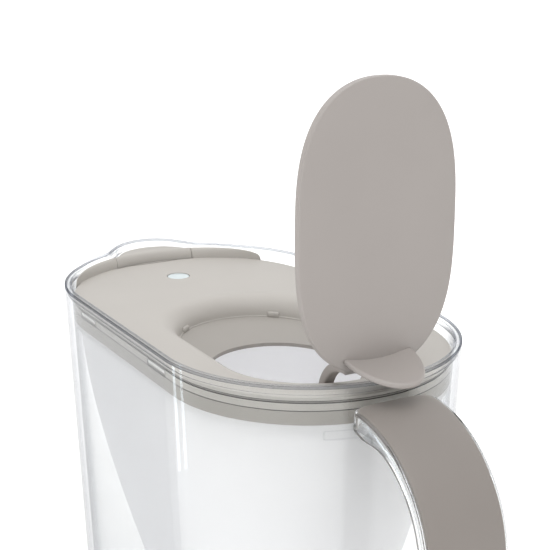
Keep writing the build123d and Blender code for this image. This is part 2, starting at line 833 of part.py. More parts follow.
with BuildPart() as cartridge_body:
    with BuildSketch(Plane.XZ):
        Polygon(
            (hopper_low_x, cup_low),
            (hopper_low_x + cartridge_foot_radius, cup_low),
            (hopper_low_x + cartridge_radius, hopper_floor),
            (hopper_low_x + cartridge_radius, cup_top),
            (hopper_low_x + cup_bore(cup_top), cup_top),
            (hopper_low_x + cup_bore(hopper_floor), hopper_floor),
            (hopper_low_x + cup_bore(cup_floor), cup_floor),
            (hopper_low_x, cup_floor),
            align=None,
        )
    revolve(axis=cartridge_axis)
    with BuildSketch(cartridge_plane.offset(seal_top)):
        Circle(cartridge_radius + cartridge_flange)
        Circle(cartridge_radius - cartridge_wall / 2, mode=Mode.SUBTRACT)
    extrude(amount=cartridge_flange_height)
    with BuildSketch(cartridge_plane.offset(cup_low)):
        with PolarLocations(cartridge_foot_radius * hole_circle_share, outlet_count):
            Circle(outlet_radius)
    extrude(amount=cartridge_wall, mode=Mode.SUBTRACT)
cartridge_body.part.label = "cartridge_body"

with BuildPart() as cartridge_seal:
    with BuildSketch(cartridge_plane.offset(hopper_floor)):
        Circle(cartridge_radius + cartridge_flange)
        Circle(cartridge_radius + seat_gap, mode=Mode.SUBTRACT)
    extrude(amount=cartridge_seal_height)
cartridge_seal.part.label = "cartridge_seal"

with BuildPart() as cartridge_cap:
    with BuildSketch(cartridge_plane.offset(cup_top)):
        Circle(cartridge_radius)
    extrude(amount=cap_height)
    fillet(cartridge_cap.faces().sort_by(Axis.Z)[-1].edges(), cap_round)
    with BuildSketch(cartridge_plane.offset(cup_top)):
        Circle(cup_bore(cup_top) - fit_gap / 2)
    extrude(amount=-spigot_depth)
    with BuildSketch(cartridge_plane.offset(screen_top)):
        Circle(cup_bore(cup_top) - 2 * cartridge_wall)
    extrude(amount=spigot_depth + cap_height - 2 * cartridge_wall, mode=Mode.SUBTRACT)
    with BuildSketch(cartridge_plane.offset(cup_top)):
        with PolarLocations(
            cartridge_radius * hole_circle_share, cap_slot_count, start_angle=180 / cap_slot_count
        ):
            SlotOverall(cartridge_radius / 3, cartridge_wall)
    extrude(amount=2 * cap_height, mode=Mode.SUBTRACT)
    with BuildSketch(Plane.XZ.offset(-pull_loop_thickness / 2)):
        with Locations((hopper_low_x, cup_top + cap_height - cartridge_wall)):
            RectangleRounded(pull_loop_width, 2 * pull_loop_height, pull_loop_thickness)
            RectangleRounded(
                pull_loop_width - 2 * pull_loop_thickness,
                2 * (pull_loop_height - pull_loop_thickness),
                pull_loop_thickness / 2,
                mode=Mode.SUBTRACT,
            )
            Rectangle(
                2 * pull_loop_width,
                2 * pull_loop_height,
                align=(Align.CENTER, Align.MAX),
                mode=Mode.SUBTRACT,
            )
    extrude(amount=pull_loop_thickness)
cartridge_cap.part.label = "cartridge_cap"

with BuildPart() as top_screen:
    with BuildSketch(cartridge_plane.offset(media_top)):
        Circle(cup_bore(cup_top) - fit_gap / 2)
    extrude(amount=screen_thickness)
top_screen.part.label = "top_screen"

with BuildPart() as bottom_screen:
    with BuildSketch(cartridge_plane.offset(cup_floor)):
        Circle(cup_bore(cup_floor) - fit_gap / 2)
    extrude(amount=screen_thickness)
bottom_screen.part.label = "bottom_screen"

with BuildPart() as filter_media:
    with BuildSketch(Plane.XZ):
        Polygon(
            (hopper_low_x, media_low),
            (hopper_low_x + cup_bore(media_low) - fit_gap, media_low),
            (hopper_low_x + cup_bore(hopper_floor) - fit_gap, hopper_floor),
            (hopper_low_x + cup_bore(media_top) - fit_gap, media_top),
            (hopper_low_x, media_top),
            align=None,
        )
    revolve(axis=cartridge_axis)
filter_media.part.label = "filter_media"

pieces = [
    jug_body,
    handle_cover,
    lid_shell,
    lid_liner,
    fill_flap,
    flap_hinge_pin,
    spout_cover,
    indicator_button,
    tact_switch,
    light_chips,
    indicator_board,
    coin_cell,
    battery_clip,
    indicator_case,
    case_seal,
    battery_cover,
    hopper,
    cartridge_body,
    cartridge_seal,
    cartridge_cap,
    top_screen,
    bottom_screen,
    filter_media,
]
os.makedirs("parts", exist_ok=True)
for piece in pieces:
    export_step(piece.part, f"parts/{piece.part.label}.step")
    box = piece.part.bounding_box()
    print(piece.part.label, len(piece.part.solids()), round(piece.part.volume), box)
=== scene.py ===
# %% [markdown]
# # A water filter pitcher, dressed for its picture
# The solids of the pitcher come from a CAD model and are loaded first. They have the right sizes already, so this
# lesson gives them finishes, and swaps a few plain solids for softer, more finely shaped meshes. All lengths are
# metres. X points from the handle to the spout, Y to the side, and Z up from the flat base.

from math import asin, atan2, cos, degrees, pi, radians, sin, sqrt

import bmesh
import bpy
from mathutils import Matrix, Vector


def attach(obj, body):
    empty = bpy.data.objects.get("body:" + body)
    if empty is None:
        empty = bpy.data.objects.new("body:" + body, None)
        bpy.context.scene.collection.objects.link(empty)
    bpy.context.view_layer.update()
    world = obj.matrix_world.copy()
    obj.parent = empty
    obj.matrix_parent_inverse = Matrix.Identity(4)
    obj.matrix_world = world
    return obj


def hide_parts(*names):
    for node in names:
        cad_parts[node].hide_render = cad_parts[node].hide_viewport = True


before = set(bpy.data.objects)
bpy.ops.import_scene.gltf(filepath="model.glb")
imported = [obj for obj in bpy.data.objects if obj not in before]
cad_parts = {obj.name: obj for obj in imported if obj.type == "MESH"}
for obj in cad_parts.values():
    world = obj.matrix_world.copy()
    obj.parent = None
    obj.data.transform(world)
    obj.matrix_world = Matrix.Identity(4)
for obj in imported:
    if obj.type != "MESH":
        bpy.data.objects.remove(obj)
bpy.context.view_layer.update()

# %% [markdown]
# ## The camera
# The picture was taken from behind the handle and a little above the rim, with a moderately long lens. A camera
# can be turned by angles, but it is simpler to say where it stands and which way it looks, and to let Blender
# work out the turn. The frame is square, so the sensor width sets both fields of view.

# %% Camera
MM = 0.001
camera_place = (-0.39086, 0.20872, 0.40205)
camera_aim = Vector((0.84016, -0.47069, -0.26940))

camera_data = bpy.data.cameras.new("picture_camera")
camera = bpy.data.objects.new("picture_camera", camera_data)
bpy.context.scene.collection.objects.link(camera)
camera.location = camera_place
camera.rotation_mode = "QUATERNION"
camera.rotation_quaternion = camera_aim.to_track_quat("-Z", "Y")
camera_data.sensor_width, camera_data.lens = 36.0, 85.51
camera_data.clip_start, camera_data.clip_end = 0.01, 50.0
bpy.context.scene.camera = camera
bpy.context.scene.view_settings.view_transform = "Standard"
print("lens:", round(camera_data.lens, 2), "mm")

# %% [markdown]
# ## Helpers for node trees
# Every finish here is a node tree, and most trees need the same few things: a node with its values set and its
# links made, a value moved from one range to another, and a way to tell apart rays that see from rays that light.
# Wiring each node by hand would hide what differs between the finishes, so these steps are small functions.

# %% Node helpers
def new_material(name):
    """An empty node material, its node tree and its output node"""
    material = bpy.data.materials.new(name)
    material.use_nodes = True
    tree = material.node_tree
    tree.nodes.clear()
    return material, tree, tree.nodes.new("ShaderNodeOutputMaterial")


def add_node(tree, kind, links=(), **settings):
    """A node with socket values set by name, and links given as (input name, output socket)"""
    node = tree.nodes.new("ShaderNode" + kind)
    for key, value in settings.items():
        if key in node.bl_rna.properties:
            setattr(node, key, value)
        else:
            node.inputs[key.replace("_", " ")].default_value = value
    for key, socket in links:
        tree.links.new(socket, node.inputs[key])
    return node


def moved_range(tree, value, low, high, new_low, new_high):
    """A value that runs from low to high, made to run from new_low to new_high"""
    node = add_node(tree, "MapRange", [("Value", value)])
    for key, number in zip(("From Min", "From Max", "To Min", "To Max"), (low, high, new_low, new_high)):
        node.inputs[key].default_value = number
    return node.outputs[0]


def seen_rays(tree):
    """1 for rays from the camera and for mirrored and refracted rays, otherwise 0"""
    path = tree.nodes.new("ShaderNodeLightPath")
    both = add_node(tree, "Math", [(0, path.outputs["Is Camera Ray"]), (1, path.outputs["Is Glossy Ray"])],
                    operation="MAXIMUM")
    return add_node(tree, "Math", [(0, both.outputs[0]), (1, path.outputs["Is Transmission Ray"])],
                    operation="MAXIMUM").outputs[0]


print("node helpers: 4")

# %% [markdown]
# ## Floor and backdrop
# A studio floor is white, yet it has to keep the object's shadow. A plain diffuse floor under plain light comes
# out light grey, so a glow is added for rays that the camera, a mirror or clear plastic sends out. The glow lights
# nothing else. It grows with the distance from the object, so the shadow close to the base stays visible.

# %% Floor
def mesh_object(name, vertices, faces):
    """A new object in the scene from plain lists of points and faces, smoothly shaded"""
    mesh = bpy.data.meshes.new(name)
    mesh.from_pydata([tuple(v) for v in vertices], [], faces)
    mesh.update()
    build = bmesh.new()
    build.from_mesh(mesh)
    bmesh.ops.recalc_face_normals(build, faces=build.faces)
    build.to_mesh(mesh)
    build.free()
    for polygon in mesh.polygons:
        polygon.use_smooth = True
    made = bpy.data.objects.new(name, mesh)
    bpy.context.scene.collection.objects.link(made)
    return made


floor_grey, half_floor = 0.84, 6.0
glow_from, glow_full, glow_least, glow_most = 0.2, 0.9, 0.05, 0.45

material, tree, output = new_material("studio_floor")
matte = add_node(tree, "BsdfDiffuse", Color=(floor_grey, floor_grey, floor_grey, 1))
away = add_node(tree, "VectorMath", [(0, tree.nodes.new("ShaderNodeTexCoord").outputs["Object"])],
                operation="LENGTH").outputs["Value"]
spread = moved_range(tree, away, glow_from, glow_full, glow_least, glow_most)
strength = add_node(tree, "Math", [(0, seen_rays(tree)), (1, spread)], operation="MULTIPLY")
glow = add_node(tree, "Emission", [("Strength", strength.outputs[0])], Color=(1, 1, 1, 1))
both = add_node(tree, "AddShader", [(0, matte.outputs[0]), (1, glow.outputs[0])])
tree.links.new(both.outputs[0], output.inputs["Surface"])
floor = mesh_object("studio_floor", [(-half_floor, -half_floor, 0), (half_floor, -half_floor, 0),
                                     (half_floor, half_floor, 0), (-half_floor, half_floor, 0)], [(0, 1, 2, 3)])
floor.data.materials.append(material)
print("floor:", 2 * half_floor, "m")

# %% [markdown]
# ## The room
# The room gives most of the light. It could be one even white, but then clear plastic would have nothing to bend
# into its edges and would vanish. So the room has three faces. The camera sees plain white. Mirrored and refracted
# rays see white near the horizon and grey-blue overhead. Rays that carry light see a soft white that is a little
# stronger from above and from the spout's side, which models the shapes.

# %% World
overhead_grey, warm_white = (0.42, 0.45, 0.50, 1), (1.0, 0.99, 0.98, 1)
white_up_to, grey_from = 0.10, 0.75
spout_side_gain, light_below, light_above = 0.10, 0.66, 1.16

world = bpy.data.worlds.new("studio_room")
bpy.context.scene.world = world
world.use_nodes = True
tree = world.node_tree
tree.nodes.clear()
where = tree.nodes.new("ShaderNodeTexCoord")
split = add_node(tree, "SeparateXYZ", [("Vector", where.outputs["Generated"])])
ramp = add_node(tree, "ValToRGB", [("Fac", split.outputs["Z"])])
first, last = ramp.color_ramp.elements
first.position, first.color = white_up_to, (1, 1, 1, 1)
last.position, last.color = grey_from, overhead_grey
seen_room = add_node(tree, "Background", [("Color", ramp.outputs["Color"])], Strength=1.0)
toward_spout = moved_range(tree, split.outputs["X"], -1.0, 1.0, -spout_side_gain, spout_side_gain)
upward = moved_range(tree, split.outputs["Z"], 0.0, 1.0, light_below, light_above)
room_light = add_node(tree, "Math", [(0, toward_spout), (1, upward)], operation="ADD")
light_room = add_node(tree, "Background", [("Strength", room_light.outputs[0])], Color=warm_white)
room = add_node(tree, "MixShader", [("Fac", seen_rays(tree)), (1, light_room.outputs[0]), (2, seen_room.outputs[0])])
white = add_node(tree, "Background", Color=(1, 1, 1, 1), Strength=1.0)
path = tree.nodes.new("ShaderNodeLightPath")
whole = add_node(tree, "MixShader", [("Fac", path.outputs["Is Camera Ray"]), (1, room.outputs[0]),
                                     (2, white.outputs[0])])
world_output = tree.nodes.new("ShaderNodeOutputWorld")
tree.links.new(whole.outputs[0], world_output.inputs["Surface"])
print("room: white to the camera, strength", light_below, "to", light_above)

# %% [markdown]
# ## The lamps
# Five lamps help the room, and all are weak, because strong ones would wash the moulded plastic out. A wide one
# from above and the spout's side shades the lid, and one from behind the handle lights the handle's back. Two fills
# at the sides light the funnel through the clear wall, and are kept out of mirrored rays, so that no window shows
# in the wall. A slim bluish lamp near the jug does the opposite: it is there for its upright highlight alone.

# %% Lamps
def soft_lamp(name, place, target, width, height, power):
    """A rectangular lamp at a place, turned to a target"""
    data = bpy.data.lights.new(name, "AREA")
    data.shape, data.size, data.size_y, data.energy = "RECTANGLE", width, height, power
    lamp = bpy.data.objects.new(name, data)
    bpy.context.scene.collection.objects.link(lamp)
    lamp.location = place
    lamp.rotation_mode = "QUATERNION"
    lamp.rotation_quaternion = (Vector(target) - Vector(place)).to_track_quat("-Z", "Y")
    return lamp


middle, handle_top, lower_wall = (0, 0, 0.2), (-0.1, 0, 0.25), (0, 0.05, 0.12)
soft_lamp("overhead_lamp", (0.55, -0.15, 1.7), middle, 1.2, 1.2, 5.4)
soft_lamp("rear_lamp", (-0.55, 0.15, 1.3), handle_top, 0.7, 0.7, 4.2)
for name, place, power in (("near_fill", (-0.6, 0.9, 0.3), 2.2), ("far_fill", (0.45, -1.0, 0.45), 2.6)):
    fill = soft_lamp(name, place, middle, 0.7, 0.7, power)
    fill.visible_glossy = False
strip_lamp = soft_lamp("strip_lamp", (0.323, 0.345, 0.06), lower_wall, 0.03, 0.12, 0.06)
strip_lamp.visible_camera = False
strip_lamp.data.color = (0.80, 0.91, 1.0)
print("lamps:", len(bpy.data.lights))

# %% [markdown]
# ## Moulded plastic
# Lid, flap, liner and handle band are matte plastic in greys that differ a little, as mouldings of different kinds
# do. The liner's grey is darker partly as its own tone and partly as painted shade, so that the recess it lines looks
# shaded. Their moulds were lightly etched, which gives a fine satin grain: a noise far smaller than a millimetre drives
# a shallow bump and the roughness, and a much larger, very faint noise varies the tone so that wide faces don't look
# painted. An image of a surface would have to be wrapped round each piece; noise in the object's own space needs
# no wrapping. The handle's band is soft to the touch, and a little sheen gives it its velvety edge.

# %% Plastic finishes
tone_scale, tone_detail, grain_strength, satin_spread = 38.0, 2.0, 0.35, 0.05


def noise(tree, scale, detail=1.0):
    """Noise that sticks to the object, finer as its scale grows"""
    where = tree.nodes.new("ShaderNodeTexCoord").outputs["Object"]
    return add_node(tree, "TexNoise", [("Vector", where)], Scale=scale, Detail=detail).outputs["Fac"]


def bumped(tree, height, strength, distance):
    """The surface's direction, tilted as a height map asks"""
    return add_node(tree, "Bump", [("Height", height)], Strength=strength, Distance=distance).outputs[0]


def moulded(name, colour, roughness, grain=2600.0, depth=0.02, tone=0.03, **settings):
    """Matte or satin moulded plastic, with the scale of its grain and the grain's depth in millimetres"""
    material, tree, output = new_material(name)
    broad, fine = noise(tree, tone_scale, tone_detail), noise(tree, grain)
    shade = add_node(tree, "Mix", [("Factor", broad)], data_type="RGBA")
    shade.inputs[6].default_value = tuple(c * (1 - tone) for c in colour) + (1,)
    shade.inputs[7].default_value = tuple(min(c * (1 + tone), 1) for c in colour) + (1,)
    satin = moved_range(tree, fine, 0.0, 1.0, roughness - satin_spread, roughness + satin_spread)
    shader = add_node(tree, "BsdfPrincipled", [("Base Color", shade.outputs[2]), ("Roughness", satin),
                                               ("Normal", bumped(tree, fine, grain_strength, depth * MM))])
    for key, value in settings.items():
        shader.inputs[key.replace("_", " ")].default_value = value
    tree.links.new(shader.outputs[0], output.inputs["Surface"])
    return material


warm_grey = moulded("warm_grey_plastic", (0.425, 0.405, 0.378), 0.50)
flap_grey = moulded("flap_grey_plastic", (0.350, 0.323, 0.307), 0.50)
# The liner's grey is darker partly as its own tone and partly as painted shade for the recess.
liner_grey_and_painted_shade = moulded("liner_grey_plastic", (0.320, 0.301, 0.278), 0.50)
soft_touch = moulded("soft_touch_grey", (0.238, 0.215, 0.198), 0.55, grain=1900.0,
                     Sheen_Weight=0.5, Sheen_Roughness=0.4, Sheen_Tint=(1.0, 0.97, 0.93, 1))
# This dark grey is painted shade, for the lid's joint lines and the clip windows' edges.
painted_shade_grey = moulded("painted_shade_grey", (0.045, 0.043, 0.040), 0.6)
white_plastic = moulded("white_plastic", (0.84, 0.84, 0.82), 0.42)
# Black plastic for the switch, also used as painted shade in the gap round the lens.
black_plastic = moulded("black_plastic", (0.02, 0.02, 0.022), 0.5)
silicone = moulded("pale_silicone", (0.52, 0.55, 0.57), 0.62, grain=1500.0, depth=0.04)
board_green = moulded("green_board", (0.02, 0.10, 0.045), 0.35, grain=900.0)
chip_resin = moulded("light_chip_resin", (0.86, 0.80, 0.42), 0.2)
steel = moulded("plain_steel", (0.55, 0.55, 0.54), 0.3, grain=900.0, Metallic=1.0)
felt = moulded("filter_felt", (0.80, 0.80, 0.77), 0.9, grain=700.0, depth=0.2, tone=0.06)
granules = moulded("filter_granules", (0.05, 0.042, 0.036), 0.75, grain=420.0, depth=0.6, tone=0.35)
print("moulded finishes: 13")

# %% [markdown]
# ## Thin clear plastic
# The jug's wall has two parallel faces, so light comes out in the direction that it went in. A glass that bends light
# could do that too, but takes more bounces. A see-through shader with a mirror coat shows it well and stays clean.
# Where the wall is seen edge on, it looks grey. The longer way of the light through it gives a little of that, and the
# rest is painted shade that stands in for the darker room which real bending would show in the edges. A ramp over the
# angle of view
# paints that grey: its first colour is for faces seen from the front, its last one for faces seen edge on.
# The mirror's share follows the known rule for clear plastic: small from the front, and all of the light edge on.
# The rim needs three more of these, which mirror less than the rule says and whose tints paint the rim's shade and
# light: its rounded outside is painted the darkest, its lip is painted pale, and its flat middle is clear until it is
# seen almost edge on, where it is painted dark.

# %% Thin clear plastics
CLEAR_IOR = 1.49
ripple_scale, ripple_strength, ripple_height = 22.0, 0.05, 0.2 * MM
coat_roughness, mirror_power = 0.02, 5.0


def ripple(tree):
    """A faint unevenness, as moulded clear plastic has"""
    return bumped(tree, noise(tree, ripple_scale), ripple_strength, ripple_height)


def thin_clear(name, face_tint, painted_edge_shade, tint_from, tint_full, coat_share=1.0):
    """See-through sheet with a mirror coat, which turns grey as it is seen more and more edge on"""
    material, tree, output = new_material(name)
    facing = add_node(tree, "LayerWeight", Blend=0.5).outputs["Facing"]
    tint = add_node(tree, "ValToRGB", [("Fac", facing)])
    first, last = tint.color_ramp.elements
    first.position, first.color = tint_from, (*face_tint, 1)
    last.position, last.color = tint_full, (*painted_edge_shade, 1)
    # The ramp's grey is painted shade for the edges, with a little real darkening from the longer path.
    passing = add_node(tree, "BsdfTransparent", [("Color", tint.outputs["Color"])])
    coat = add_node(tree, "BsdfGlossy", [("Normal", ripple(tree))], Roughness=coat_roughness)
    steep = add_node(tree, "Math", [(0, facing)], operation="POWER")
    steep.inputs[1].default_value = mirror_power
    least = ((CLEAR_IOR - 1) / (CLEAR_IOR + 1)) ** 2
    share = add_node(tree, "Math", [(0, steep.outputs[0])], operation="MULTIPLY_ADD")
    share.inputs[1].default_value, share.inputs[2].default_value = coat_share * (1 - least), coat_share * least
    whole = add_node(tree, "MixShader", [("Fac", share.outputs[0]), (1, passing.outputs[0]), (2, coat.outputs[0])])
    tree.links.new(whole.outputs[0], output.inputs["Surface"])
    return material


clear_wall = thin_clear("clear_wall", (0.985, 0.99, 0.988), (0.53, 0.545, 0.58), 0.55, 1.0)
clear_rim_painted_shade = thin_clear("clear_rim_painted_shade", (0.82, 0.83, 0.85), (0.36, 0.375, 0.41), 0.35, 0.95, coat_share=0.1)
clear_lip_painted_light = thin_clear("clear_lip_painted_light", (0.95, 0.955, 0.965), (0.66, 0.67, 0.69), 0.5, 1.0, coat_share=0.3)
clear_side_painted_shade = thin_clear("clear_side_painted_shade", (0.995, 0.995, 0.995), (0.20, 0.215, 0.25), 0.76, 1.0, coat_share=0.2)
print("thin clear plastics: 4")

# %% [markdown]
# ## Thick clear plastic
# The handle's clear rib is thick and curved. The thin finish could be used again, but here the light really bends, so
# a glass-like shader is used. Light from the lamps would have to find its way through by chance, so rays that only
# ask whether a lamp is in sight pass straight through.

# %% Thick clear plastic
rib_tint = (0.985, 0.99, 0.99, 1)
clear_rib, tree, output = new_material("clear_rib")
glass = add_node(tree, "BsdfPrincipled", [("Normal", ripple(tree))], Roughness=0.0, IOR=CLEAR_IOR)
glass.inputs["Base Color"].default_value = rib_tint
glass.inputs["Transmission Weight"].default_value = 1.0
passing = add_node(tree, "BsdfTransparent", Color=rib_tint)
path = tree.nodes.new("ShaderNodeLightPath")
whole = add_node(tree, "MixShader", [("Fac", path.outputs["Is Shadow Ray"]), (1, glass.outputs[0]),
                                     (2, passing.outputs[0])])
tree.links.new(whole.outputs[0], output.inputs["Surface"])
print("thick clear plastic bends light by", CLEAR_IOR)

# %% [markdown]
# ## Milky plastic
# The funnel inside is a milky plastic: light goes through, but nothing behind it can be made out. Scattering inside
# the plastic could be traced in full, which is slow and grainy. A translucent shader that carries light from the
# far side to the near one, mixed with a diffuse one and a thin glossy coat, looks much the same. The lens over the
# light is milky too. Rays that ask for a lamp partly pass, or the inside of the funnel would be far too dark.

# %% Milky funnel and lens
cloud_scale, cloud_detail, skin_scale, skin_strength, skin_depth = 30.0, 2.0, 1800.0, 0.3, 0.02 * MM
less_through, more_through, passing_share = 0.03, 0.04, 0.7


def milky(name, colour, through, roughness):
    """Plastic that glows with light from behind but shows no shapes through it"""
    material, tree, output = new_material(name)
    normal = bumped(tree, noise(tree, skin_scale), skin_strength, skin_depth)
    cloud = noise(tree, cloud_scale, cloud_detail)
    share = moved_range(tree, cloud, 0.0, 1.0, through - less_through, through + more_through)
    skin = add_node(tree, "BsdfPrincipled", [("Normal", normal)], Roughness=roughness)
    skin.inputs["Base Color"].default_value = (*colour, 1)
    behind = add_node(tree, "BsdfTranslucent", [("Normal", normal)], Color=(*colour, 1))
    solid = add_node(tree, "MixShader", [("Fac", share), (1, skin.outputs[0]), (2, behind.outputs[0])])
    open_way = add_node(tree, "BsdfTransparent", Color=(*colour, 1))
    part_way = add_node(tree, "MixShader", [(1, solid.outputs[0]), (2, open_way.outputs[0])], Fac=passing_share)
    path = tree.nodes.new("ShaderNodeLightPath")
    whole = add_node(tree, "MixShader", [("Fac", path.outputs["Is Shadow Ray"]), (1, solid.outputs[0]),
                                         (2, part_way.outputs[0])])
    tree.links.new(whole.outputs[0], output.inputs["Surface"])
    return material


milky_funnel = milky("milky_funnel", (0.965, 0.963, 0.973), 0.42, 0.35)
pale_lens = milky("pale_lens", (0.86, 0.95, 0.97), 0.3, 0.15)
print("finishes in all:", len(bpy.data.materials))

# %% [markdown]
# ## Which solid gets which finish
# A CAD solid whose shape is right only needs its finish, which goes into the object's material slot. A mesh could be
# rebuilt for every solid, but that would gain nothing where the CAD shape is already the real one. Solids that a
# mesh below replaces get a finish as well, so that none is ever bare.

# %% Finish the CAD solids
finishes = {
    clear_wall: ["jug_body"],
    warm_grey: ["lid_shell", "spout_cover"],
    flap_grey: ["fill_flap"],
    liner_grey_and_painted_shade: ["lid_liner"],
    soft_touch: ["handle_cover"],
    milky_funnel: ["hopper"],
    pale_lens: ["indicator_button"],
    white_plastic: ["cartridge_body", "cartridge_cap", "indicator_case", "battery_cover"],
    steel: ["flap_hinge_pin", "coin_cell", "battery_clip"],
    board_green: ["indicator_board"],
    black_plastic: ["tact_switch"],
    chip_resin: ["light_chips"],
    silicone: ["case_seal", "cartridge_seal"],
    felt: ["top_screen", "bottom_screen"],
    granules: ["filter_media"],
}
for finish, names in finishes.items():
    for name in names:
        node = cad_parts[name]
        node.data.materials.clear()
        node.data.materials.append(finish)
print("finished:", sum(len(names) for names in finishes.values()), "solids")

# %% [markdown]
# ## Skins from rings
# Every mesh below is a row of rings, each with the same number of points, joined by four-sided faces. Modifiers on a
# cube or a bevelled curve could make most of these shapes, but rings say exactly where each point lies, so that a
# piece fits the CAD solid that it covers. A ring row is left open, closed flat, or closed with a fan.

# %% Ring skins
def bridged(name, rings, finish, body, cap="fan"):
    """A skin through rings of points, with its finish and the body that it rides on"""
    count = len(rings[0])
    points = [p for ring in rings for p in ring]
    faces = []
    for row in range(len(rings) - 1):
        for i in range(count):
            j = (i + 1) % count
            faces.append((row * count + i, row * count + j, (row + 1) * count + j, (row + 1) * count + i))
    if cap == "flat":
        faces += [tuple(range(count)), tuple(range(len(points) - count, len(points)))]
    if cap == "fan":
        for row in (0, len(rings) - 1):
            points.append(sum((Vector(p) for p in rings[row]), Vector()) / count)
            for i in range(count):
                faces.append((row * count + i, row * count + (i + 1) % count, len(points) - 1))
    made = mesh_object(name, points, faces)
    made.data.materials.append(finish)
    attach(made, body)
    return made


print("caps: none, flat or fan")

# %% [markdown]
# ## Plates from outlines
# Flap and thumb tab are both plates with a rounded rim and a gently curved face. A cube with modifiers would need
# its corners tamed, so a plate is built straight from its outline: rings of points step in from the rim to the
# middle on both sides, a quarter circle of rings rounds the rim, and a height rule curves each face.

# %% Plate builder
def plate_rings(outline, edge, top, bottom, place, steps=9, turns=6):
    """Rings of a plate: outline points in a plane, rim radius, two height rules and a placing rule"""
    count = len(outline)
    inward = []
    for i in range(count):
        run = Vector(outline[(i + 1) % count]) - Vector(outline[i - 1])
        inward.append(Vector((-run.y, run.x)).normalized())
    middle = sum((Vector(p) for p in outline), Vector((0, 0))) / count
    rings = []

    def ring(inset, share, rule, drop):
        row = []
        for point, normal in zip(outline, inward):
            at = Vector(point) + normal * inset
            at = middle + (at - middle) * share
            row.append(place(at.x, at.y, rule(at.x, at.y) + drop))
        rings.append(row)

    for step in range(1, steps):
        ring(edge, sin(pi / 2 * step / steps), top, 0)
    for turn in range(turns + 1):
        angle = pi / 2 * turn / turns
        ring(edge * (1 - sin(angle)), 1, top, edge * (cos(angle) - 1))
    for turn in range(turns, -1, -1):
        angle = pi / 2 * turn / turns
        ring(edge * (1 - sin(angle)), 1, bottom, -edge * (cos(angle) - 1))
    for step in range(steps - 1, 0, -1):
        ring(edge, sin(pi / 2 * step / steps), bottom, 0)
    return rings


print("a plate has 2 faces of 8 rings and a rim of 14")

# %% [markdown]
# ## The fill flap
# The flap stands open on its hinge. On the real pitcher its outer face bulges softly, and its outline is nowhere
# straight: it is between an ellipse and a rectangle. A superellipse gives that, with one power across and one along.
# The CAD plate is flat with straight sides and round ends, which is enough for its weight and its hinge, so the plate
# below takes its place in the picture.

# %% Flap plate
hinge = Vector((-0.078964, 0, 0.2566))
flap_back = -0.081464
flap_inner = flap_back + 3 * MM
flap_middle_z = 0.3120
flap_half_length, flap_half_width = 44.7 * MM, 27.5 * MM
across_power, along_power = 2.2, 3.0
flap_thickness, flap_crown, flap_rim, crown_power = 2.6 * MM, 1.2 * MM, 0.5 * MM, 1.3
flap_points = 160


def powered(value, power):
    """A power of the value's size, with its sign kept"""
    return (1 if value >= 0 else -1) * abs(value) ** power


outline = []
for i in range(flap_points):
    angle = 2 * pi * i / flap_points
    outline.append((flap_half_width * powered(cos(angle), 2 / across_power),
                    flap_half_length * powered(sin(angle), 2 / along_power)))


def flap_face(across, along):
    """Height of the outer face over the inner one: highest in the middle and falling to the rim"""
    reach = abs(across / flap_half_width) ** across_power + abs(along / flap_half_length) ** along_power
    return flap_thickness + flap_crown * (1 - min(reach, 1) ** crown_power)


rings = plate_rings(outline, flap_rim, flap_face, lambda across, along: 0,
                    lambda across, along, up: (flap_inner - up, across, flap_middle_z + along))
flap_plate = bridged("flap_plate", rings, flap_grey, "flap")
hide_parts("fill_flap")
print("flap plate:", len(flap_plate.data.polygons), "faces")

# %% [markdown]
# ## The thumb tab
# A half-moon tab sticks out from the foot of the flap. It is dished, so that a thumb finds it: its middle lies
# lower than its sides, and it falls a little towards its tip. Its root is a shallow curve inside the flap's plate,
# because two pieces that only touch would show a gap. The plate builder makes it, with a height rule for the dish.

# %% Thumb tab
tab_half_width, tab_length, tab_thickness, tab_root = 12 * MM, 18 * MM, 1.8 * MM, 1.2 * MM
tab_z, tab_fall, tab_dish, tab_rim = hinge.z + 15.4 * MM, 2.3 * MM, 1.6 * MM, 0.7 * MM
tip_steps, root_steps = 64, 24
outline = []
for i in range(tip_steps + 1):
    angle = pi * i / tip_steps
    outline.append((tab_half_width * cos(angle), tab_length * sin(angle)))
for i in range(1, root_steps):
    outline.append((-tab_half_width + 2 * tab_half_width * i / root_steps, -tab_root * sin(pi * i / root_steps) ** 0.5))


def tab_top(across, out):
    """Height of the tab's middle layer: up at both sides, down at the tip"""
    side = (across / tab_half_width) ** 2
    return tab_dish * (side * (1 - 0.5 * max(out, 0) / tab_length) - 0.5) - tab_fall * out / tab_length


rings = plate_rings(outline, tab_rim, lambda y, out: tab_top(y, out) + tab_thickness / 2,
                    lambda y, out: tab_top(y, out) - tab_thickness / 2,
                    lambda y, out, up: (flap_back - out, y, tab_z + up))
flap_tab = bridged("flap_tab", rings, flap_grey, "flap")
print("thumb tab:", len(flap_tab.data.polygons), "faces")

# %% [markdown]
# ## The gooseneck arms
# Two curved arms carry the flap. Each is a flat band that leaves the hinge under the lid, comes up through its slot
# and turns back into the flap's foot. A curve with a bevel could do this; here a rounded rectangle is carried along
# the arc, ring by ring, which keeps the band's sides upright. A spoke joins each arm to the hub on the hinge pin.

# %% Gooseneck arms
arm_inner, arm_outer, arm_width, arm_middle = 11.5 * MM, 14.5 * MM, 4 * MM, 9 * MM
hub_radius, pin_bore, spoke_half, arm_round = 2.7 * MM, 1.25 * MM, 1.5 * MM, 0.6 * MM
arm_radius, arm_from, arm_sweep, arm_steps, hub_points = (arm_inner + arm_outer) / 2, -4, 100, 40, 40
spoke_runs = (2.2 * MM, 6 * MM, 10 * MM, 13 * MM)


def round_rectangle(width, height, corner, steps=4):
    """Points round a rectangle with rounded corners, centred on zero"""
    points = []
    for quarter in range(4):
        sign_x, sign_y = ((1, 1), (-1, 1), (-1, -1), (1, -1))[quarter]
        for step in range(steps + 1):
            angle = pi / 2 * (quarter + step / steps)
            points.append((sign_x * (width / 2 - corner) + corner * cos(angle),
                           sign_y * (height / 2 - corner) + corner * sin(angle)))
    return points


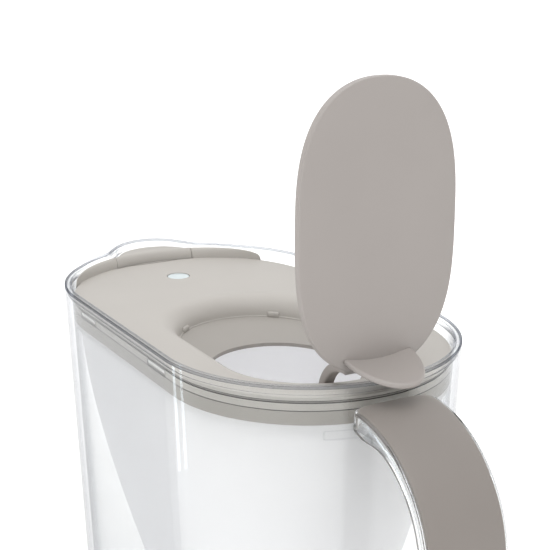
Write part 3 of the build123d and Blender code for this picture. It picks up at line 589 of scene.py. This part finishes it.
for side, label in ((1, "near"), (-1, "far")):
    section = round_rectangle(arm_outer - arm_inner, arm_width, arm_round)
    rings = []
    for step in range(arm_steps + 1):
        angle = radians(arm_from + arm_sweep * step / arm_steps)
        rings.append([(hinge.x + (r + arm_radius) * cos(angle), side * arm_middle + y,
                       hinge.z + (r + arm_radius) * sin(angle)) for r, y in section])
    bridged(f"flap_arm_{label}", rings, flap_grey, "flap")
    section = round_rectangle(2 * spoke_half, arm_width, arm_round)
    rings = [[(hinge.x + along, side * arm_middle + y, hinge.z + r) for r, y in section] for along in spoke_runs]
    bridged(f"flap_spoke_{label}", rings, flap_grey, "flap")
    rings = []
    for radius, y in ((pin_bore, -1), (hub_radius - arm_round, -1), (hub_radius, -0.7), (hub_radius, 0.7),
                      (hub_radius - arm_round, 1), (pin_bore, 1), (pin_bore, -1)):
        rings.append([(hinge.x + radius * cos(2 * pi * i / hub_points), side * arm_middle + y * arm_width / 2,
                       hinge.z + radius * sin(2 * pi * i / hub_points)) for i in range(hub_points)])
    bridged(f"flap_hub_{label}", rings, flap_grey, "flap", cap="none")
print("arms: 2, each with spoke and hub")

# %% [markdown]
# ## The handle's line
# Band and clear rib follow one line: an arc that starts at the jug's round wall, a straight grip, a second arc and
# a short run back to the wall. A drawn curve could follow it too, but then the band's ends would have to be cut to
# the wall. A function gives a point of the line for a run along the handle, a place across and a depth under the
# crown. Because the wall is round, the line starts a little further in the further it is from the middle, and that
# place is found by a few repeated tries.

# %% Line of the handle
rim_z, rim_out, end_x, wall_slope, handle_gap = 268 * MM, 51.5 * MM, 38.5 * MM, 0.04, 0.15 * MM
top_bend, low_bend = 39.41 * MM, 42 * MM
top_centre, low_centre = Vector((-90.83, 0, 222.05)) * MM, Vector((-84.6, 0, 115.39)) * MM
between = low_centre - top_centre
grip_run = sqrt(between.length_squared - (low_bend - top_bend) ** 2)
lean = atan2(between.x, -between.z) - asin((low_bend - top_bend) / between.length)
start_tries = 4


def wall_x(y, z):
    """Where the jug's outer wall is at the handle's end, for a place across and a height"""
    radius = rim_out - wall_slope * (rim_z - z) + handle_gap
    return -end_x - sqrt(max(radius ** 2 - y ** 2, 0))


def handle_point(travel, y, depth):
    """Point at a travel from 0 to 1 along the handle, a place across, and a depth under the crown"""
    bend = top_bend - depth
    start = pi / 2
    for _ in range(start_tries):
        offset = (wall_x(y, top_centre.z + bend * sin(start)) - top_centre.x) / bend
        start = atan2(sqrt(1 - offset ** 2), offset)
    first, last = (pi + lean - start) * top_bend, (pi / 2 - lean) * low_bend
    tail = wall_x(y, low_centre.z - low_bend + depth) - low_centre.x
    run = travel * (first + grip_run + last + tail)
    centre, angle = top_centre, start + run / top_bend
    if run > first:
        along = min((run - first) / grip_run, 1)
        centre, angle = top_centre + between * along, pi + lean
        bend += (low_bend - top_bend) * along
    if run > first + grip_run:
        centre, angle = low_centre, min(pi + lean + (run - first - grip_run) / low_bend, 3 * pi / 2)
    beyond = max(run - first - grip_run - last, 0)
    return centre.x + bend * cos(angle) + beyond, y, centre.z + bend * sin(angle)


handle_run = (pi / 2 + lean) * top_bend + grip_run + (pi / 2 - lean) * low_bend
print("handle, along its crown:", round(handle_run, 3), "m")

# %% [markdown]
# ## The soft band
# A soft-touch band covers the clear handle. Its back is slightly crowned, its long edges are rounded, and at both
# ends its corners are round as well. The CAD band has a plain section, so this one replaces it. Cross sections are
# carried along the handle's line, closer together at the ends, where the width changes.

# %% Soft band
band_half, band_thick, band_crown, band_edge, band_corner = 13.28 * MM, 2.1 * MM, 0.53 * MM, 0.5 * MM, 4.5 * MM
crown_steps, edge_steps, grip_steps = 14, 5, 80
end_runs = [0, 0.15 * MM, 0.5 * MM, 1.0 * MM, 1.7 * MM, 2.6 * MM, 3.5 * MM, 4.5 * MM]
middle_runs = [handle_run * i / grip_steps for i in range(2, grip_steps - 1)]
runs = end_runs + middle_runs + [handle_run - run for run in reversed(end_runs)]


def half_width(run):
    """Half the band's width at a run: full in the middle and rounded off at both ends"""
    left = min(run, handle_run - run)
    return band_half - band_corner + sqrt(band_corner ** 2 - max(band_corner - left, 0) ** 2)


rings = []
for run in runs:
    half = half_width(run)
    across = [(half - band_edge) * (-1 + 2 * i / crown_steps) for i in range(crown_steps + 1)]
    turns = [pi / 2 * i / edge_steps for i in range(1, edge_steps + 1)]
    near_edge = [(half - band_edge + band_edge * sin(t), band_crown + band_edge * (1 - cos(t))) for t in turns]
    section = [(y, band_crown * (y / half) ** 2) for y in across] + near_edge
    section += [(half, band_thick)] + [(-y, band_thick) for y in across[1:-1]] + [(-half, band_thick)]
    section += [(-y, depth) for y, depth in reversed(near_edge)]
    rings.append([handle_point(run / handle_run, y, depth) for y, depth in section])
band = bridged("handle_band", rings, soft_touch, "jug", cap="flat")
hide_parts("handle_cover")
print("handle band:", len(band.data.polygons), "faces")

# %% [markdown]
# ## The clear rib's edges
# The clear half of the handle is a little wider than the band and shows as a bright strip along both edges. Close
# to the jug it is deeper and fills the corner like a web, where light bends into a bright and a dark patch. The rib
# belongs to the jug's solid, which has the thin finish all over, so strips of thick clear plastic are laid along its
# edges. Each is a rounded rectangle carried along the same line, and its depth follows the run.

# %% Edges of the clear rib
strip_in, strip_out, strip_top, strip_round = 1.4 * MM, 0.95 * MM, 0.95 * MM, 0.4 * MM
strip_least, web_extra, web_run, web_power = 4.9 * MM, 3.0 * MM, 9 * MM, 1.3


def strip_depth(run):
    """How deep the clear rib reaches under the crown: deepest a centimetre from the jug"""
    return strip_least + web_extra / (1 + ((run - web_run) / web_run) ** 2) ** web_power


for side, label in ((1, "near"), (-1, "far")):
    rings = []
    for run in runs:
        low, half = strip_depth(run), half_width(run)
        section = round_rectangle(strip_in + strip_out, low - strip_top, strip_round, 3)
        rings.append([handle_point(run / handle_run, side * (half + (strip_out - strip_in) / 2 + across),
                                   (low + strip_top) / 2 + down) for across, down in section])
    bridged(f"handle_clear_edge_{label}", rings, clear_rib, "jug", cap="flat")
print("clear edges: 2, up to", round(max(strip_depth(run) for run in runs) / MM, 1), "mm deep")

# %% [markdown]
# ## The line of the rim
# The eye finds a clear jug by its rim. It is a long oval that runs into the spout in one soft S-shaped line, made of
# three arcs on each side of the spout: the spout's circle, a fillet that bends the other way, and the jug's round
# end. The CAD wall has the circle and the round end but a sharp corner between them, which the fillet softens. A
# spline through picked points could do that too, but arcs keep to the wall's own circles everywhere else. Where they
# meet follows from the triangle between their centres.

# %% Line of the rim
spout_x, spout_out, spout_lift, fillet_out = 77 * MM, 20 * MM, 2 * MM, 28 * MM
to_spout, to_end, to_fillet = spout_x - end_x, rim_out + fillet_out, spout_out + fillet_out
reach_x = (to_spout ** 2 + to_end ** 2 - to_fillet ** 2) / (2 * to_spout)
reach_y = sqrt(to_end ** 2 - reach_x ** 2)
end_turn, spout_turn = atan2(reach_y, reach_x), atan2(reach_y, end_x + reach_x - spout_x)
spout_steps, fillet_steps, front_steps, rear_steps = 24, 16, 30, 60


def arc(centre_x, centre_y, radius, first, last, steps, sign=1):
    """Points of an arc with their outward directions; sign -1 is for an arc that bends the other way"""
    turns = [first + (last - first) * i / steps for i in range(steps + 1)]
    return [(centre_x + radius * cos(t), centre_y + radius * sin(t), sign * cos(t), sign * sin(t)) for t in turns]


half_rim = arc(spout_x, 0, spout_out, 0, spout_turn, spout_steps)
half_rim += arc(end_x + reach_x, reach_y, fillet_out, pi + spout_turn, pi + end_turn, fillet_steps, -1)[1:]
half_rim += arc(end_x, 0, rim_out, end_turn, pi / 2, front_steps)[1:]
half_rim += arc(-end_x, 0, rim_out, pi / 2, pi, rear_steps)
rim_line = half_rim + [(x, -y, nx, -ny) for x, y, nx, ny in reversed(half_rim[1:-1])]
print("rim line:", len(rim_line), "points")

# %% [markdown]
# ## The beads of the rim
# The moulded rim is round at its top, and its outside, middle and lip carry the light differently. One bead through
# the wall would be all dark or all clear, so three see-through beads follow the line side by side within the wall's
# thickness, each with a tint of its own that paints the rim's shading: the outside painted darkest, the lip painted
# pale, and the middle painted dark only when seen edge on. Only at the softened corners does the outer one leave the
# solid, by less than a millimetre. Their tops rise with the spout.

# %% Rim beads
bead_steps = 12
# The three finishes paint the rim's shade and light.
beads = (("outer", -0.1 * MM, -0.85 * MM, 0.1 * MM, 0.5 * MM, clear_rim_painted_shade),
         ("inner", -2.05 * MM, -2.4 * MM, 0.3 * MM, 0.4 * MM, clear_lip_painted_light),
         ("strip", -0.87 * MM, -2.03 * MM, 0.06 * MM, 2.4 * MM, clear_side_painted_shade))
for label, out_at, in_at, shoulder, deep, finish in beads:
    bead_middle, bead_half = (out_at + in_at) / 2, (out_at - in_at) / 2
    rings = []
    for x, y, nx, ny in rim_line:
        top = rim_z - shoulder + spout_lift * max((x - spout_x) / spout_out, 0)
        section = [(bead_middle + bead_half * cos(pi * i / bead_steps),
                    top - bead_half * (1 - sin(pi * i / bead_steps))) for i in range(bead_steps + 1)]
        section += [(in_at, top - deep - bead_half), (out_at, top - deep - bead_half)]
        rings.append([(x + out * nx, y + out * ny, z) for out, z in section])
    bridged(f"rim_bead_{label}", rings + [rings[0]], finish, "jug", cap="none")
print("rim beads:", len(beads))

# %% [markdown]
# ## The front ridge
# Round the spout the lid rises into a ridge. Its inner face is steep at the foot and rolls over into a flat top. A
# bevel on the CAD's ridge could round its edge, but not give this quarter of an ellipse, which widens with the
# ridge. So each cross section is worked out between the foot circle and the lid's edge. The ridge gets thinner
# towards its ends, because the foot circle and the lid's edge come together there.

# %% Ridge
ridge_centre, ridge_foot, ridge_rise = 31.064 * MM, 52.9 * MM, 3.93 * MM
roll_width, lid_edge, lid_end_centre, lid_top = 2.25 * MM, 48.5 * MM, 38.5 * MM, 263.3 * MM
cover_side, seam, crest_round = 16.5 * MM, 0.24 * MM, 0.45 * MM
ridge_steps, corner_steps, ridge_skirt = 72, 4, 1.0 * MM
ridge_thinnest, flat_least, least_roll, most_corner = 0.12 * MM, 0.55 * MM, 0.08, 0.4
fall_reach, fall_power, taper_from, taper_cut = 1.02, 7, 0.95, 0.998


def edge_from_ridge_centre(angle):
    """Distance of the lid's edge from the ridge's centre in a direction"""
    offset = lid_end_centre - ridge_centre
    return offset * cos(angle) + sqrt(lid_edge ** 2 - (offset * sin(angle)) ** 2)


def rolled_face(width, rise, steps=8):
    """Outward and upward steps of the rolled inner face"""
    return [(width * (1 - cos(pi / 2 * i / steps)), rise * sin(pi / 2 * i / steps)) for i in range(steps + 1)]


def rounded_crest(end, top, corner, steps):
    """Points of the small rounding from a flat top to an upright face"""
    turns = [pi / 2 * i / steps for i in range(steps + 1)]
    return [(end - corner + corner * sin(t), top - corner * (1 - cos(t))) for t in turns]


ridge_end = 0.5
while edge_from_ridge_centre(ridge_end) - ridge_foot > ridge_thinnest:
    ridge_end += 0.002
for side, label in ((1, "near"), (-1, "far")):
    rings = []
    for step in range(ridge_steps + 1):
        share = step / ridge_steps
        turn = share * ridge_end + (1 - share) * asin((cover_side + seam) / ridge_foot)
        thickness = edge_from_ridge_centre(turn) - ridge_foot
        rise = ridge_rise * sqrt(max(1 - (turn / (ridge_end * fall_reach)) ** fall_power, 0))
        rise *= sqrt(1 - max((share - taper_from) / (1 - taper_from), 0) ** 2 * taper_cut)
        width = min(roll_width, max(thickness - flat_least, least_roll * thickness))
        profile = [(0, -ridge_skirt)] + rolled_face(width, rise)
        profile += rounded_crest(thickness, rise, min(crest_round, most_corner * thickness), corner_steps)
        profile += [(thickness, -ridge_skirt)]
        ring = []
        for out, up in profile:
            radius = ridge_foot + out
            start = asin((cover_side + seam) / radius)
            angle = start + (ridge_end - start) * share
            ring.append((ridge_centre + radius * cos(angle), side * radius * sin(angle), lid_top + up))
        rings.append(ring)
    bridged(f"lid_ridge_{label}", rings, warm_grey, "lid", cap="flat")
print("ridge ends at", round(degrees(ridge_end), 1), "degrees")

# %% [markdown]
# ## The spout cover
# Between its two seams the ridge is a small cover of its own, which swings so that water can pass to the spout. A
# copy of the ridge cut at the seams would miss the part that reaches into the spout, so the cover is worked out column
# by column: the ridge's rolled face at the foot, and in front the further one of two circles, with a smooth change
# between them. Its foot stands a fifth of a millimetre off the lid, to have room to swing. Two short pins carry it.

# %% Spout cover
cover_steps, swing_room, front_blend = 96, 0.22 * MM, 1.2 * MM
cover_corner, cover_corner_steps = 0.3 * MM, 3
cover_circle_x, cover_circle = 77.167 * MM, 16.45 * MM
cover_skirt, cover_back, cover_wall, cover_front_wall = 1.8 * MM, 3.2 * MM, 0.9 * MM, 0.2 * MM
cover_top = lid_top + ridge_rise
rings = []
for step in range(cover_steps + 1):
    y = cover_side * (-1 + 2 * step / cover_steps)
    foot_x = ridge_centre + sqrt(ridge_foot ** 2 - y ** 2) + swing_room
    spout_front = cover_circle_x + sqrt(max(cover_circle ** 2 - y ** 2, 0))
    ring_x = lid_end_centre + sqrt(lid_edge ** 2 - y ** 2)
    overlap = max(front_blend - abs(spout_front - ring_x), 0)
    front_x = max(spout_front, ring_x) + overlap ** 2 / (4 * front_blend) - front_blend / 4
    profile = [(foot_x, lid_top - cover_skirt)]
    profile += [(foot_x + out, lid_top + up) for out, up in rolled_face(roll_width, ridge_rise)]
    profile += rounded_crest(front_x, cover_top, cover_corner, cover_corner_steps)
    profile += [(front_x, cover_top - cover_skirt),
                (foot_x + min(cover_back, front_x - foot_x - cover_front_wall), cover_top - cover_skirt),
                (foot_x + cover_wall, lid_top - cover_skirt)]
    rings.append([(x, y, z) for x, z in profile])
cover = bridged("pour_cover_skin", rings, warm_grey, "pour_cover", cap="flat")
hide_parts("spout_cover")

pivot, pin_radius, pin_points = Vector((81.963, 0, 262.6)) * MM, 0.7 * MM, 24
pin_rings = ((cover_side - 0.6 * MM, pin_radius), (cover_side + 1.2 * MM, pin_radius),
             (cover_side + 1.3 * MM, pin_radius - 0.1 * MM))
for side, label in ((1, "near"), (-1, "far")):
    rings = [[(pivot.x + radius * cos(2 * pi * i / pin_points), side * y,
               pivot.z + radius * sin(2 * pi * i / pin_points)) for i in range(pin_points)]
             for y, radius in pin_rings]
    bridged(f"pour_cover_pin_{label}", rings, warm_grey, "pour_cover", cap="flat")
print("cover columns:", cover_steps + 1)

# %% [markdown]
# ## The light's lens
# A round lens sits in the lid over the light. It bulges by a third of a millimetre, and a narrow dark ring of painted
# shade lies in the gap round it. A screw modifier could turn a profile into both; a circle of points repeated at the
# profile's radii and heights does the same with the ring skins from above.

# %% Lens and its joint
light_x = 59.464 * MM
lens_radius_mm, lens_edge_mm, lens_bulge_mm, dome_steps = 4.1, 263.2, 0.32, 8


def turned(name, profile, finish, body, count=72):
    """A turned part over the light, from radii and heights in millimetres"""
    rings = [[(light_x + r * MM * cos(2 * pi * i / count), r * MM * sin(2 * pi * i / count), z * MM)
              for i in range(count)] for r, z in profile]
    return bridged(name, rings, finish, body)


dome = [(lens_radius_mm * i / dome_steps, lens_edge_mm + lens_bulge_mm * (1 - (i / dome_steps) ** 2))
        for i in range(1, dome_steps + 1)]
stem = [(4.2, 263.1), (4.2, 260.35), (5.6, 260.35), (5.6, 259.55), (1.0, 259.55)]
lens = turned("light_lens", dome + stem, pale_lens, "button")
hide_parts("indicator_button")
# The black ring is painted shade in the gap round the lens.
turned("lens_gap_shade", [(4.24, 262.2), (4.24, 262.85), (4.7, 262.85), (4.7, 262.2), (4.24, 262.2)],
       black_plastic, "lid")
print("lens:", len(lens.data.polygons), "faces")

# %% [markdown]
# ## Lip and clips in the recess
# Where the recess wall meets the sloping floor there is a narrow lip, and two small clips hold the two halves of the
# lid together. They could be cut into the CAD solid, but they are trim of half a millimetre, so they are laid on it:
# a small section is carried along a slot-shaped path, which two half circles give.

# %% Recess lip and clips
recess_middle, recess_half, recess_radius = -23.264 * MM, 17.7 * MM, 27.7 * MM
lip_reach, lip_steps, clip_from, clip_to, clip_steps = 135, 180, 36.5, 45.5, 8


def slot_path(middle_x, half, radius, first, last, steps):
    """Points and outward directions on a slot outline between two angles, the straight sides included"""
    path = []
    for i in range(steps + 1):
        angle = first + (last - first) * i / steps
        centre = middle_x + (half if cos(angle) > 0 else -half)
        path.append((centre + radius * cos(angle), radius * sin(angle), cos(angle), sin(angle)))
    return path


def along_path(path, profile):
    """Rings of a section, given as outward steps and heights in millimetres, carried along a path"""
    return [[(x + out * MM * nx, y + out * MM * ny, z * MM) for out, z in profile] for x, y, nx, ny in path]


lip_profile = [(0.1, 255.7), (0.1, 256.15), (-0.15, 256.15), (-0.3, 256.05), (-0.35, 255.85), (-0.35, 255.5)]
path = slot_path(recess_middle, recess_half, recess_radius, radians(-lip_reach), radians(lip_reach), lip_steps)
bridged("recess_lip", along_path(path, lip_profile), warm_grey, "lid", cap="flat")
clip_profile = [(0.2, 255.0), (0.2, 257.7), (-0.25, 257.6), (-0.5, 257.2), (-0.55, 255.0)]
for side, label in ((1, "near"), (-1, "far")):
    first, last = radians(side * clip_from), radians(side * clip_to)
    path = slot_path(recess_middle, recess_half, recess_radius, first, last, clip_steps)
    bridged(f"recess_clip_{label}", along_path(path, clip_profile), warm_grey, "lid", cap="flat")
print("recess: lip and 2 clips")

# %% [markdown]
# ## The joint round the lid
# The lid is made of two mouldings. The shade in their joint and at the two edges of the groove above it shows as fine
# dark lines through the clear wall. These lines are painted shade: a line drawn by a material would need its own
# coordinates, so each is a thin dark ring that lies almost flush in the lid's side.

# %% Joint lines
lid_spacing, lid_side, line_depth_mm, line_steps = 38.5 * MM, 48.164 * MM, 0.25, 240
ring_path = slot_path(0, lid_spacing, lid_side, -pi, pi, line_steps)[:-1]
shade_lines = (("parting", 258.92, 259.2, 0.03), ("groove_low", 261.4, 261.6, 0.0),
               ("groove_high", 262.13, 262.31, 0.0))
# Each ring is painted shade of the joint or of an edge of the groove.
for label, low, high, proud in shade_lines:
    rings = along_path(ring_path, [(-line_depth_mm, low), (proud, low), (proud, high), (-line_depth_mm, high)])
    bridged(f"lid_line_{label}", rings + [rings[0]], painted_shade_grey, "lid", cap="none")
print("joint lines:", len(shade_lines))

# %% [markdown]
# ## The clip windows
# The clips that hold the two mouldings show in four small windows in the lid's side. Each has a dark edge, widest
# towards the spout, which is painted shade in the opening, a grey sill and a pale head. Openings could be cut into the
# lid, but its solids stay as the CAD model gives them, so the three are flat bars with rounded corners, laid on the
# straight side over one another.

# %% Clip windows
window_long, window_low, window_high, window_round = 14 * MM, 258.8 * MM, 261.25 * MM, 0.1 * MM
bar_long, bar_shift, bar_root = window_long - 1.3 * MM, 1.3 * MM / 4, 0.2 * MM
# The dark edge bar is painted shade inside the window.
bars = (("edge", window_long, 0, window_low, window_high, 0.06 * MM, painted_shade_grey, "greige_plastic"),
        ("sill", bar_long, bar_shift, window_low + 0.75 * MM, window_low + 1.15 * MM, 0.12 * MM, liner_grey_and_painted_shade,
         "greige_plastic"),
        ("head", bar_long, bar_shift, window_low + 1.3 * MM, window_high - 0.15 * MM, 0.12 * MM, white_plastic,
         "white_plastic"))
for label, middle_x in (("rear", -26 * MM), ("front", 33 * MM)):
    for side, word in ((1, "near"), (-1, "far")):
        for part, long, shift, low, high, proud, finish, slot in bars:
            section = round_rectangle(long, high - low, window_round, 2)
            rings = [[(middle_x - shift + along, side * (lid_side + out), (low + high) / 2 + up)
                      for along, up in section] for out in (-bar_root, proud)]
            bridged(f"clip_window_{part}_{label}_{word}", rings, finish, "lid", cap="flat")
print("clip windows: 4, bars in each:", len(bars))
